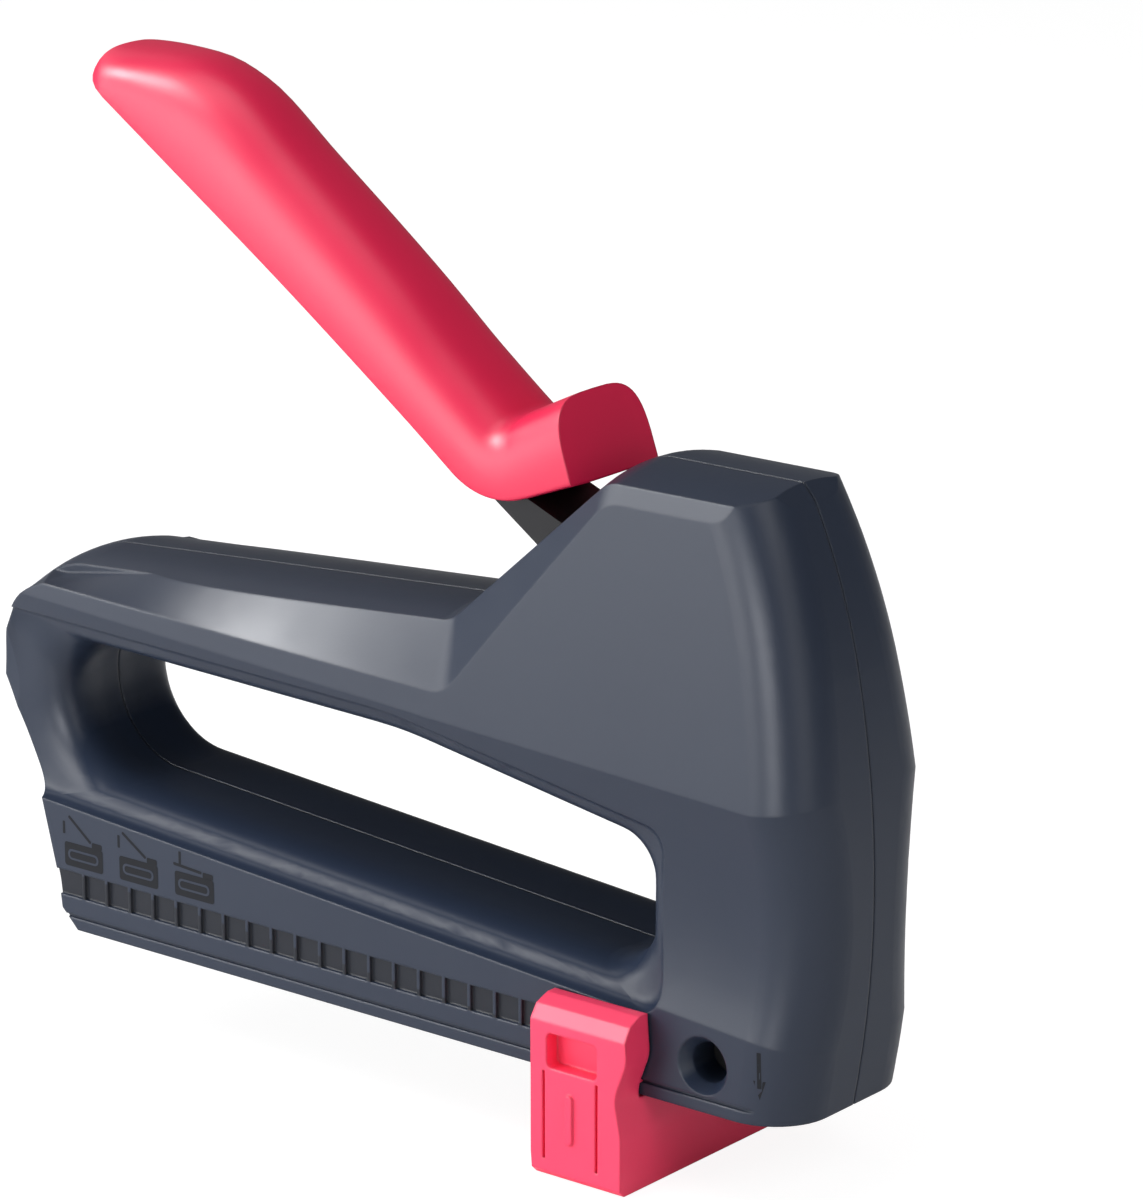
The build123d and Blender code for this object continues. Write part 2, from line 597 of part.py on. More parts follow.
# ---------------------------------------------------------------- edge guide
with BuildPart() as edge_guide:                   # straddles the base, hangs below the sole
    with BuildSketch(Plane.YZ.offset(-37.0)):     # U round the base, with its hooks
        Polygon((-guide_inner_half - 1.8, 13.3), (-guide_outer_half + 1.4, 12.2),
                (-guide_outer_half, 10.2), (-guide_outer_half, guide_low_z + 1),
                (-guide_outer_half + 1, guide_low_z), (guide_outer_half - 1, guide_low_z),
                (guide_outer_half, guide_low_z + 1), (guide_outer_half, 10.2),
                (guide_outer_half - 1.4, 12.2), (guide_inner_half + 1.8, 13.3),
                (guide_inner_half, 13.3), (guide_inner_half, 2.45), (guide_inner_half - 0.7, 2.35),
                (guide_inner_half - 0.7, 2.1), (guide_inner_half, 2.0), (guide_inner_half, -0.4),
                (-guide_inner_half, -0.4), (-guide_inner_half, 2.0), (-guide_inner_half + 0.7, 2.1),
                (-guide_inner_half + 0.7, 2.35), (-guide_inner_half, 2.45),
                (-guide_inner_half, 13.3), align=None)
    extrude(amount=20)
    with BuildSketch(Plane.XZ) as cheek:          # waisted side view
        Polygon((-36.4, 16), (-37.6, 9), (-37.0, 1), (-37.4, -6), (-36.6, -16), (-20, -16),
                (-20, -5), (-21.2, 1), (-18.9, 7), (-19.6, 16), align=None)
        fillet(cheek.vertices().filter_by(lambda v: abs(v.Y) < 10), radius=6)
    extrude(amount=25, both=True, mode=Mode.INTERSECT)
    with BuildSketch(Plane.XY.offset(guide_low_z)):   # hollow under the base, open below
        with Locations((-29.6, 0)):
            RectangleRounded(11.2, 30, 1.5)
    extrude(amount=-guide_low_z - 3.4, mode=Mode.SUBTRACT)
    for side in (-1, 1):
        with BuildSketch(Plane.XZ.offset(side * guide_outer_half)) as window:
            with Locations((-29.2, 5.8)):
                RectangleRounded(9.6, 5.6, 1.0)
        extrude(amount=side * -2.6, mode=Mode.SUBTRACT)
        with BuildSketch(Plane.XZ.offset(side * guide_outer_half)):
            with Locations((-34.5, -4.6), (-24.5, -4.6)):
                Rectangle(0.5, 14.0)              # slits that free the snap tongue
        extrude(amount=side * -3.0, mode=Mode.SUBTRACT)
        with BuildSketch(Plane.XZ.offset(side * (guide_outer_half - 0.3))):
            with Locations((-29.6, -4.4)):
                SlotOverall(8.0, 1.4, rotation=90)
        extrude(amount=side * 0.7)                # rib to press
finish(edge_guide, "edge_guide")

# ---------------------------------------------------------------- housing screws
def cross_recess(plane, spots):
    """The slots of a cross recess in each head, as a sketch on plane."""
    with BuildSketch(plane) as recess:
        with Locations(*spots):
            Rectangle(3.2, 0.7)
            Rectangle(0.7, 3.2)
    return recess.sketch


with BuildPart() as housing_screws:
    with BuildSketch(Plane.XZ.offset(-head_plane_y)):
        with Locations(*screw_spots):
            Circle(screw_head_radius)
    extrude(amount=-screw_head_height)
    with BuildSketch(Plane.XZ.offset(-head_plane_y)):
        with Locations(*screw_spots):
            Circle(screw_radius)
    extrude(amount=19.0)
    extrude(cross_recess(Plane.XZ.offset(-head_plane_y - screw_head_height), screw_spots),
            amount=1.2, dir=(0, -1, 0), mode=Mode.SUBTRACT)
finish(housing_screws, "housing_screws")

with BuildPart() as magazine_screw:
    with BuildSketch(Plane.XZ.offset(front_screw_seat)):
        with Locations(front_screw):
            Circle(screw_head_radius)
    extrude(amount=1.7)
    with BuildSketch(Plane.XZ.offset(front_screw_seat)):
        with Locations(front_screw):
            Circle(screw_radius)
    extrude(amount=-1.8)
    extrude(cross_recess(Plane.XZ.offset(front_screw_seat + 1.7), (front_screw,)),
            amount=1.0, dir=(0, 1, 0), mode=Mode.SUBTRACT)
finish(magazine_screw, "magazine_screw")
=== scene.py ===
# %% [markdown]
# # A hand staple gun
# The tool is a two-part plastic housing with a finger opening, a red lever on a black steel arm and a
# red edge guide under the nose. Its exact shapes come from the CAD model, which is loaded here as a
# fixed frame. This lesson gives every piece its real finish and adds what is too fine for the CAD:
# marks and grain.

# %% Load the frame
import json
import math
import bmesh
import bpy
from mathutils import Matrix, Vector


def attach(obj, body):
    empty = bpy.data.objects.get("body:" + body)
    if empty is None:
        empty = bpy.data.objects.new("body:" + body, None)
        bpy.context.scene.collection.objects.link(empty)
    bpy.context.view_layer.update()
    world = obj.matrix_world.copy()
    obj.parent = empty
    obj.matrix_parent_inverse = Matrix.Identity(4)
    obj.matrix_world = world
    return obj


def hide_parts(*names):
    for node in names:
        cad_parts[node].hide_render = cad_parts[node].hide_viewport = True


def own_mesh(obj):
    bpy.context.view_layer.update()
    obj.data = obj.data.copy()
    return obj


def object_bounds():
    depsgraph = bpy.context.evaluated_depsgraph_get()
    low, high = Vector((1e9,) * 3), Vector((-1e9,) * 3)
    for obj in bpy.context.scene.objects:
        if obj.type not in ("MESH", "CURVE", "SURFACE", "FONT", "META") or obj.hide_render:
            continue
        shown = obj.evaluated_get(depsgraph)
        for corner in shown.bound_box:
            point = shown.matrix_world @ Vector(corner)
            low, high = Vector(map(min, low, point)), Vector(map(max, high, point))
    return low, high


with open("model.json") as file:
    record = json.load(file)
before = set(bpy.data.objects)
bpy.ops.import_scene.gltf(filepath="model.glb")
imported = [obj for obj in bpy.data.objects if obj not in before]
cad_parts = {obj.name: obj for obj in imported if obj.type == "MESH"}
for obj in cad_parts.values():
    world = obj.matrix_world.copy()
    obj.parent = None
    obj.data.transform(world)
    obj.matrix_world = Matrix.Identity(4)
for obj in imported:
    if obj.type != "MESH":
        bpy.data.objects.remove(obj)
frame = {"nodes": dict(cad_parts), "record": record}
nodes = frame["nodes"]
cad_low, cad_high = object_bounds()
print("CAD box in mm:", [round(1000 * c, 1) for c in (*cad_low, *cad_high)])

# %% [markdown]
# ## The camera
# A long lens far away keeps the tool's edges nearly parallel, as in a product shot. The camera looks at
# the near side from in front and slightly above. It is turned with a tracking quaternion, so it has no
# roll.

# %% Camera
camera_azimuth, camera_elevation = math.radians(38.611), math.radians(16.570)
camera_data = bpy.data.cameras.new("camera")
camera = bpy.data.objects.new("camera", camera_data)
bpy.context.scene.collection.objects.link(camera)
bpy.context.scene.camera = camera
back = Vector((math.sin(camera_azimuth) * math.cos(camera_elevation),
               -math.cos(camera_azimuth) * math.cos(camera_elevation),
               math.sin(camera_elevation)))
camera.location = (0.46025, -0.63545, 0.30981)
camera.rotation_mode = "QUATERNION"
camera.rotation_quaternion = (-back).to_track_quat("-Z", "Y")
camera_data.sensor_width = 36.0
camera_data.lens = 169.765
camera_data.clip_start, camera_data.clip_end = 0.05, 20.0
print("camera lens in mm:", camera_data.lens)

# %% [markdown]
# ## One function for colours, one for nodes
# Colours are written as sRGB hex values, the way a paint chart gives them, but Blender's shaders work
# in linear light. So one function turns hex into linear. Another adds a node, sets it and links it in
# one line, because a material is easier to read as a list of such lines.

# %% Helpers for materials
def linear(hex_colour):
    """An sRGB hex colour such as '5f6371' as linear RGBA."""
    channels = [int(hex_colour[i:i + 2], 16) / 255 for i in (0, 2, 4)]
    return [c / 12.92 if c <= 0.04045 else ((c + 0.055) / 1.055) ** 2.4 for c in channels] + [1.0]


def add(tree, kind, settings=None, **sockets):
    """Adds a node. settings are its properties; sockets are values, or (node, output) pairs to link from."""
    node = tree.nodes.new(kind)
    for name, value in (settings or {}).items():
        setattr(node, name, value)
    for name, value in sockets.items():
        socket = node.inputs[int(name[1:])] if name[0] == "_" else node.inputs[name.replace("_", " ")]
        if isinstance(value, tuple) and len(value) == 2 and hasattr(value[0], "outputs"):
            tree.links.new(value[0].outputs[value[1]], socket)
        else:
            socket.default_value = value
    return node


def new_material(name):
    """An empty material, and its node tree."""
    material = bpy.data.materials.new(name)
    material.use_nodes = True
    material.node_tree.nodes.clear()
    return material, material.node_tree


def per_metre(millimetres):
    """The texture scale that makes one cycle of a pattern this long."""
    return 1000.0 / millimetres


print("slate navy in linear light:", [round(c, 3) for c in linear("2a3344")[:3]])

# %% [markdown]
# ## Moulded plastic
# ABS is poured hot into a steel mould whose walls are lightly etched, and the etching leaves a fine
# grain that breaks a reflection into a soft sheen. So the colour is nearly even, the roughness is
# middling and wanders a little over a few centimetres, and a noise of a fraction of a millimetre bumps
# the surface. A mould's corners are never quite sharp: a bevel node bends the normals near each edge,
# as a radius of a few tenths of a millimetre would, so that edges catch a thin line of light. One
# function serves the housing, the lever and the guide, which differ in colour, grain and gloss. The
# housing's walls that face up low down, in the finger opening, shine less.

# %% Moulded plastic
edge_radius_mm = 0.6
flow_mm, wander_mm = 34, 9                       # how long the flow marks and the changes of gloss are
gloss_range = 0.05                               # how far the roughness wanders to either side
matt_specular = 0.03
matt_lean_from, matt_lean_to = 0.35, 0.55        # how far up a wall faces as its shine goes


def moulded_plastic(name, colour, shade, roughness, grain_mm, grain_depth_mm, specular=0.5,
                    matt_below_mm=None):
    """A solid-dyed plastic from an etched mould. shade is the colour that faint flow marks lean to."""
    material, tree = new_material(name)
    place = add(tree, "ShaderNodeTexCoord")
    flow = add(tree, "ShaderNodeTexNoise", Vector=(place, "Object"), Scale=per_metre(flow_mm), Detail=3.0)
    tint = add(tree, "ShaderNodeMix", {"data_type": "RGBA"}, Factor=(flow, "Fac"))
    tint.inputs[6].default_value, tint.inputs[7].default_value = linear(colour), linear(shade)
    wander = add(tree, "ShaderNodeTexNoise", Vector=(place, "Object"), Scale=per_metre(wander_mm),
                 Detail=4.0)
    polish = add(tree, "ShaderNodeMapRange", Value=(wander, "Fac"), To_Min=roughness - gloss_range,
                 To_Max=roughness + gloss_range)
    grain = add(tree, "ShaderNodeTexNoise", Vector=(place, "Object"), Scale=per_metre(grain_mm), Detail=2.0,
                Roughness=0.6)
    edges = add(tree, "ShaderNodeBevel", {"samples": 4}, Radius=edge_radius_mm / 1000)
    bump = add(tree, "ShaderNodeBump", Height=(grain, "Fac"), Strength=0.5, Distance=grain_depth_mm / 1000,
               Normal=(edges, "Normal"))
    surface = add(tree, "ShaderNodeBsdfPrincipled", Base_Color=(tint, 2), Roughness=(polish, "Result"),
                  Normal=(bump, "Normal"), IOR=1.53, Specular_IOR_Level=specular)
    if matt_below_mm:
        spot = add(tree, "ShaderNodeSeparateXYZ", Vector=(place, "Object"))
        lean = add(tree, "ShaderNodeSeparateXYZ", Vector=(place, "Normal"))
        low = add(tree, "ShaderNodeMapRange", Value=(spot, "Z"), From_Min=(matt_below_mm + 1) / 1000,
                  From_Max=matt_below_mm / 1000)
        wall = add(tree, "ShaderNodeMapRange", Value=(lean, "Z"), From_Min=matt_lean_from,
                   From_Max=matt_lean_to)
        both = add(tree, "ShaderNodeMath", {"operation": "MULTIPLY"}, _0=(low, "Result"),
                   _1=(wall, "Result"))
        calm = add(tree, "ShaderNodeMapRange", Value=(both, "Value"), To_Min=specular, To_Max=matt_specular)
        tree.links.new(calm.outputs["Result"], surface.inputs["Specular IOR Level"])
    add(tree, "ShaderNodeOutputMaterial", Surface=(surface, "BSDF"))
    return material


housing_plastic = moulded_plastic("slate_navy_moulded_abs", "2a3344", "272f40", 0.36, 0.35, 0.015, 0.36, 36)
lever_plastic = moulded_plastic("crimson_moulded_abs", "e8124c", "e01048", 0.40, 0.5, 0.008, 0.5)

guide_plastic = moulded_plastic("crimson_moulded_nylon", "ff3d68", "fb3862", 0.45, 0.35, 0.012)
print("plastics:", housing_plastic.name, lever_plastic.name, guide_plastic.name)

# %% [markdown]
# ## Painted shade in the cells
# A row of small cells runs along both sides, and the guide's tongue drops into them. Their floors are
# given a darker colour than the ribs between them: painted shade, for the shade that falls into these
# recesses. The cells are found by where they are: a depth from the middle of the tool, a height over
# the sole, and everything behind a place near the nose.

# %% Paint shade on the cells' floors
floor_depth, depth_margin = 0.0161, 0.00035
row_height, height_margin = 0.0076, 0.0021
row_front_x = -0.024
# the cells' floors get this darker colour as painted shade, for the shade in the recesses
cell_shade_colour = "161b26"


def product(tree, first, second):
    """Two yes-or-no values, as one that is yes where both are."""
    return add(tree, "ShaderNodeMath", {"operation": "MULTIPLY"}, _0=(first, "Value"), _1=(second, "Value"))


tree = housing_plastic.node_tree
surface = next(node for node in tree.nodes if node.bl_idname == "ShaderNodeBsdfPrincipled")
plain = surface.inputs["Base Color"].links[0].from_socket
place = add(tree, "ShaderNodeTexCoord")
spot = add(tree, "ShaderNodeSeparateXYZ", Vector=(place, "Object"))
depth = add(tree, "ShaderNodeMath", {"operation": "ABSOLUTE"}, _0=(spot, "Y"))
deep = add(tree, "ShaderNodeMath", {"operation": "COMPARE"}, _0=(depth, "Value"), _1=floor_depth,
           _2=depth_margin)
level = add(tree, "ShaderNodeMath", {"operation": "COMPARE"}, _0=(spot, "Z"), _1=row_height,
            _2=height_margin)
behind = add(tree, "ShaderNodeMath", {"operation": "LESS_THAN"}, _0=(spot, "X"), _1=row_front_x)
in_shaded_cell = product(tree, product(tree, deep, level), behind)
tint = add(tree, "ShaderNodeMix", {"data_type": "RGBA"}, Factor=(in_shaded_cell, "Value"))
tree.links.new(plain, tint.inputs[6])
tint.inputs[7].default_value = linear(cell_shade_colour)
tree.links.new(tint.outputs[2], surface.inputs["Base Color"])
print("cells darkened in", housing_plastic.name)

# %% [markdown]
# ## Steel
# The magazine and the small parts are zinc-plated sheet, which is rolled: fine lines run along it, and
# the zinc dulls them. A noise stretched along X gives such lines. The lever's arm and the screws are
# blackened, which leaves a dark skin of low sheen.

# %% Steel
def steel(name, colour, roughness, line_mm, stretch, metallic=1.0):
    """Rolled or drawn steel. Its fine lines are line_mm apart and stretch times as long, along X."""
    material, tree = new_material(name)
    place = add(tree, "ShaderNodeTexCoord")
    along = add(tree, "ShaderNodeMapping", Vector=(place, "Object"), Scale=(1 / stretch, 1, 1))
    lines = add(tree, "ShaderNodeTexNoise", Vector=(along, "Vector"), Scale=per_metre(line_mm), Detail=3.0)
    polish = add(tree, "ShaderNodeMapRange", Value=(lines, "Fac"), To_Min=roughness - 0.08,
                 To_Max=roughness + 0.1)
    bump = add(tree, "ShaderNodeBump", Height=(lines, "Fac"), Strength=0.3, Distance=0.00001)
    surface = add(tree, "ShaderNodeBsdfPrincipled", Base_Color=linear(colour), Metallic=metallic,
                  Roughness=(polish, "Result"), Normal=(bump, "Normal"))
    add(tree, "ShaderNodeOutputMaterial", Surface=(surface, "BSDF"))
    return material


zinc_steel = steel("zinc_plated_steel", "c9c9c4", 0.35, 0.3, 12)
hard_steel = steel("ground_hardened_steel", "a9a9aa", 0.28, 0.25, 20)
spring_steel = steel("oiled_spring_wire", "8c8c90", 0.3, 0.4, 1)
black_steel = steel("black_oxide_steel", "2a2a2c", 0.42, 0.4, 6, metallic=0.7)

# %% [markdown]
# ## Buffer rubber
# The block that stops the plunger is dull black rubber. It scatters nearly all its light, so it is
# rough with a fine tooth.

# %% Rubber
buffer_rubber = moulded_plastic("black_moulded_rubber", "161616", "1c1c1c", 0.8, 0.4, 0.03)

# %% [markdown]
# ## Finishes on the CAD nodes
# A CAD node keeps its own mesh, and only its material slot changes. The record says which slot each
# node takes, so one table from slot to material dresses them all.

# %% Dress the CAD nodes
finish_of_slot = {"housing_plastic": housing_plastic, "lever_plastic": lever_plastic,
                  "guide_plastic": guide_plastic, "zinc_steel": zinc_steel, "hard_steel": hard_steel,
                  "spring_steel": spring_steel, "black_steel": black_steel, "buffer_rubber": buffer_rubber}
for part in frame["record"]["subparts"]:
    mesh = nodes[part["node"]].data
    mesh.materials.clear()
    mesh.materials.append(finish_of_slot[part["material_slot"]])

# %% [markdown]
# ## The lever's grip
# The red grip is a moulded cover over the steel arm. It is flat below and arched above, humped a little
# way from the tip for the palm, and it bends up into a blunt foot near the head. In the CAD it is a
# plain sweep. Here one ring of points is carried along the underside's line, and extruded at each stop,
# while its width, its height and the fullness of its arch change. The line comes first: a long straight
# from the tip, a round bend and a short straight foot.

# %% The line along the underside
grip_corner = Vector((-0.0557, 0, 0.0831))
grip_slope, foot_slope = math.radians(34.5), math.radians(19.0)
to_tip = Vector((-math.cos(grip_slope), 0, math.sin(grip_slope)))
to_foot = Vector((math.cos(foot_slope), 0, math.sin(foot_slope)))
sideways = Vector((0, 1, 0))
upward = sideways.cross(to_tip)                  # off the underside, on the long straight
tip_reach, foot_reach, bend_radius = 0.0986, 0.0178, 0.015
bend_angle = to_foot.angle(-to_tip)
bend_cut = bend_radius * math.tan(bend_angle / 2)
straight = tip_reach - bend_cut
bend_length = bend_radius * bend_angle
grip_length = straight + bend_length + foot_reach - bend_cut


def underside(t):
    """The point and direction of travel at t metres from the tip."""
    if t <= straight:
        return grip_corner + to_tip * (tip_reach - t), -to_tip
    turned = min((t - straight) / bend_length, 1.0) * bend_angle
    start = grip_corner + to_tip * bend_cut
    ahead = -to_tip * math.cos(turned) + upward * math.sin(turned)
    place = start - to_tip * bend_radius * math.sin(turned) + upward * bend_radius * (1 - math.cos(turned))
    return place + ahead * max(0.0, t - straight - bend_length), ahead


print("grip length in mm:", round(1000 * grip_length, 1))

# %% [markdown]
# ### Its widths and heights
# A few keys along the line give the height, the sag of the underside and the fullness of the arch, in
# mm, and a smooth curve joins them. A fullness of 2 is an ellipse, and a higher one is squarer. Near
# the tip, quarter circles draw in the width and the height, so the end closes like a thumb, and the
# side rolls into the top without an edge.

# %% Widths and heights along it
def smooth_through(keys, t):
    """A smooth curve through (place, value) keys, by Catmull and Rom."""
    last = len(keys) - 2
    i = max(k for k in range(last + 1) if keys[k][0] <= t or k == 0)
    (t1, v1), (t2, v2) = keys[i], keys[i + 1]
    (t0, v0), (t3, v3) = keys[max(i - 1, 0)], keys[min(i + 2, last + 1)]
    u, span = (t - t1) / (t2 - t1), t2 - t1
    in_slope = (v2 - v0) / (t2 - t0) * span
    out_slope = (v3 - v1) / (t3 - t1) * span
    return ((2 * u**3 - 3 * u**2 + 1) * v1 + (u**3 - 2 * u**2 + u) * in_slope
            + (3 * u**2 - 2 * u**3) * v2 + (u**3 - u**2) * out_slope)


height_keys = ((0, 10.0), (10, 12.6), (17.6, 14.8), (25, 15.8), (38, 14.7), (65, 13.3), (80, 12.0),
               (98, 11.9), (115.4, 13.2))
sag_keys = ((0, -0.3), (20, 0.0), (50, 0.45), (80, 0.1), (97, -0.5), (115.4, 0.0))
fullness_keys = ((0, 2.4), (25, 2.5), (80, 2.6), (100, 2.9), (115.4, 3.6))
half_width, corner_reach, nose_reach = 0.0105, 0.0065, 0.0085
tip_height_share = 0.25                      # how much of the height is left at the very tip
tip_lift, lift_reach = 0.0022, 0.004         # how far the underside rises at the tip, and from where
foot_band, foot_fullness = 0.0009, 0.35      # the low rounded band where the side meets the underside
top_of_part, soften = 0.1425, 0.0012         # the highest the hump may reach, and how gently it stays below


def rounding(t, reach):
    """A quarter circle from 0 at the tip to 1 at reach."""
    return math.sqrt(1 - (1 - min(t / reach, 1.0)) ** 2)


def ring_place(angle, t):
    """Where a ring's point at this angle goes, t metres from the tip."""
    place, ahead = underside(t)
    up = ahead.cross(sideways)
    millimetres = 1000 * t
    fullness = smooth_through(fullness_keys, millimetres)
    width = half_width - corner_reach * (1 - rounding(t, corner_reach))
    share = tip_height_share + (1 - tip_height_share) * rounding(t, nose_reach)
    height = smooth_through(height_keys, millimetres) / 1000 * share
    base = smooth_through(sag_keys, millimetres) / 1000 + tip_lift * (1 - rounding(t, lift_reach))
    room = (top_of_part - place.z) / up.z - base
    height = (height + room - math.sqrt((height - room) ** 2 + soften**2)) / 2
    side, rise = math.cos(angle), math.sin(angle)
    across = math.copysign(abs(side) ** (2 / fullness), side) * width
    if rise < 0:
        level = foot_band * (1 - abs(rise) ** foot_fullness)
    else:
        level = foot_band + rise ** (2 / fullness) * (height - foot_band)
    return place + sideways * across + up * (base + level)


print("grip is", 2000 * half_width, "mm wide")

# %% [markdown]
# ### The ring, extruded
# The ring starts as a circle of points at the tip. At each stop its edges are extruded, and the new
# points go where the curves above put them. The stops are close together at the tip and round the bend,
# where the form turns fast.

# %% Carry the ring along
ring_points = 56
straight_stops, bend_stops, foot_stops = 34, 14, 5


def evenly(start, end, count):
    """count places from just after start to end."""
    return [start + (end - start) * i / count for i in range(1, count + 1)]


stops = [0.0, 0.0001, 0.0003, 0.0007, 0.0012, 0.002, 0.003, 0.0045, corner_reach]
stops += evenly(corner_reach, straight, straight_stops)
stops += evenly(straight, straight + bend_length, bend_stops)
stops += evenly(straight + bend_length, grip_length, foot_stops)
skin = bmesh.new()
bmesh.ops.create_circle(skin, cap_ends=False, segments=ring_points, radius=1.0)
ring = list(skin.verts)
rim = list(skin.edges)
angles = [math.atan2(v.co.y, v.co.x) for v in ring]
for stop in stops:
    if stop > 0:
        grown = bmesh.ops.extrude_edge_only(skin, edges=rim)["geom"]
        fresh = [v for v in grown if isinstance(v, bmesh.types.BMVert)]
        rim = [e for e in grown if isinstance(e, bmesh.types.BMEdge) and all(v in fresh for v in e.verts)]
        ring = [min(fresh, key=lambda f: (f.co - old.co).length_squared) for old in ring]
    for vertex, angle in zip(ring, angles):
        vertex.co = ring_place(angle, stop)
bmesh.ops.holes_fill(skin, edges=[e for e in skin.edges if e.is_boundary])
bmesh.ops.recalc_face_normals(skin, faces=skin.faces)
grip_mesh = bpy.data.meshes.new("lever_grip_cover")
skin.to_mesh(grip_mesh)
skin.free()
lever_cover = bpy.data.objects.new("lever_grip_cover", grip_mesh)
bpy.context.scene.collection.objects.link(lever_cover)
print("grip:", len(grip_mesh.polygons), "faces")

# %% [markdown]
# ### The arm's seat
# The cover is screwed on the arm from below. A box in line with the arm and two cylinders for the
# screws are cut out of it, one after the other, and then it takes the place of the plain grip on the
# lever's body.

# %% Cut the arm's seat
seat_from, seat_to, seat_low, seat_high, seat_half_width = -0.030, 0.0719, -0.005, 0.0048, 0.00705
seat = bmesh.new()
bmesh.ops.create_cube(seat, size=1.0)
bmesh.ops.scale(seat, verts=seat.verts, vec=(seat_to - seat_from, 2 * seat_half_width, seat_high - seat_low))
bmesh.ops.translate(seat, verts=seat.verts, vec=((seat_to + seat_from) / 2, 0, (seat_high + seat_low) / 2))
bmesh.ops.rotate(seat, verts=seat.verts, matrix=Matrix.Rotation(math.pi, 3, "Z"))
bmesh.ops.rotate(seat, verts=seat.verts, matrix=Matrix.Rotation(grip_slope, 3, "Y"))
bmesh.ops.translate(seat, verts=seat.verts, vec=grip_corner)
cutters = [("arm_seat", seat)]
screw_reaches = (0.0214, 0.0564)                 # from the corner towards the tip
hole_radius, hole_depth = 0.0016, 0.020
stand_up = Vector((0, 0, 1)).rotation_difference(upward).to_matrix()
for i, reach in enumerate(screw_reaches):
    hole = bmesh.new()
    bmesh.ops.create_cone(hole, cap_ends=True, segments=32, radius1=hole_radius, radius2=hole_radius,
                          depth=hole_depth)
    bmesh.ops.rotate(hole, verts=hole.verts, matrix=stand_up)
    bmesh.ops.translate(hole, verts=hole.verts, vec=grip_corner + to_tip * reach)
    cutters.append((f"screw_hole_{i}", hole))
for name, form in cutters:
    form_mesh = bpy.data.meshes.new(name)
    form.to_mesh(form_mesh)
    form.free()
    cutter = bpy.data.objects.new(name, form_mesh)
    bpy.context.scene.collection.objects.link(cutter)
    cut = lever_cover.modifiers.new(name, "BOOLEAN")
    cut.operation, cut.solver, cut.object = "DIFFERENCE", "EXACT", cutter
    shaped = lever_cover.evaluated_get(bpy.context.evaluated_depsgraph_get())
    lever_cover.data = bpy.data.meshes.new_from_object(shaped)
    lever_cover.modifiers.clear()
    bpy.data.objects.remove(cutter)
lever_cover.data.shade_smooth()
lever_cover.data.set_sharp_from_angle(angle=math.radians(40))
lever_cover.data.materials.clear()
lever_cover.data.materials.append(lever_plastic)
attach(lever_cover, "lever")
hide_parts("lever_grip")
print("grip with its seat:", len(lever_cover.data.polygons), "faces")

# %% [markdown]
# ## Springs
# A coil spring shortens as its follower comes towards it. The CAD coils are rigid and keep their rest
# length, so a raised plunger or a drawn pusher would pass through them. Each spring is stood for by a
# copy of its own coils on the same body, and the CAD coils are hidden; the copy keeps the rest length too.


def shortening_spring(node, body):
    """A copy of the coils of this node, on the given body; the CAD coils are hidden. It keeps their rest
    length.
    """
    coils = nodes[node].data.copy()
    coils.transform(nodes[node].matrix_world)
    piece = bpy.data.objects.new(node + "_coils", coils)
    bpy.context.scene.collection.objects.link(piece)
    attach(piece, body)
    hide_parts(node)
    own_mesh(piece)


shortening_spring("drive_spring", "housing")
shortening_spring("pusher_spring", "magazine")

# %% [markdown]
# ## Moulded marks
# The housing carries a down arrow beside the nose, which shows where the staple leaves, and three small
# usage pictures over the detent rail, with the lever at three heights. On the real tool they are sunk a
# tenth of a millimetre or so. Here each is a thin inlay coloured darker than the housing: painted shade,
# standing for the shade that falls into these shallow sunk marks. A flat grid gets its corners rounded by
# a vertex bevel and is laid on the housing by a shrinkwrap, so that it follows the rounded nose too.

# %% Marks: one inlay
# the marks' darker colour is painted shade, for the shade inside their sunk floors
sunk_mark_shade_plastic = moulded_plastic("painted_shade_slate_navy_abs", "12151d", "11141b", 0.55, 0.35, 0.015, 0.2)
inlay_rise = 0.00003
stamps_y = -0.0185             # every inlay starts outside the housing and is pressed on from here


def inlay(name, outline, x, z, turn=0.0, finish=sunk_mark_shade_plastic, layer=1):
    """Lays a flat bmesh, drawn in x and z about its middle, on the near side at x, z in metres."""
    bmesh.ops.rotate(outline, verts=outline.verts, matrix=Matrix.Rotation(math.radians(turn), 3, "Y"))
    bmesh.ops.translate(outline, verts=outline.verts, vec=(x, stamps_y, z))
    mesh = bpy.data.meshes.new(name)
    outline.to_mesh(mesh)
    outline.free()
    mesh.materials.append(finish)
    piece = bpy.data.objects.new(name, mesh)
    bpy.context.scene.collection.objects.link(piece)
    press = piece.modifiers.new("press", "SHRINKWRAP")
    press.target, press.wrap_method, press.wrap_mode = nodes["near_shell"], "PROJECT", "ABOVE_SURFACE"
    press.use_project_x, press.use_project_y, press.use_project_z = False, True, False
    press.use_positive_direction, press.use_negative_direction = True, False
    press.offset = inlay_rise * layer
    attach(piece, "housing")


def bar(length, height, corner):
    """A flat bar in x and z about the origin, its corners rounded."""
    flat = bmesh.new()
    bmesh.ops.create_grid(flat, x_segments=1, y_segments=1, size=0.5,
                          matrix=Matrix.Rotation(math.radians(90), 4, "X"))
    bmesh.ops.scale(flat, verts=flat.verts, vec=(length, 1, height))
    bmesh.ops.bevel(flat, geom=flat.verts[:], offset=corner, affect="VERTICES", segments=4, profile=0.5)
    return flat


print("marks in", sunk_mark_shade_plastic.name)

# %% [markdown]
# ### The arrow
# The arrow is a narrow bar with a triangle under it. A circle of three points makes the triangle.

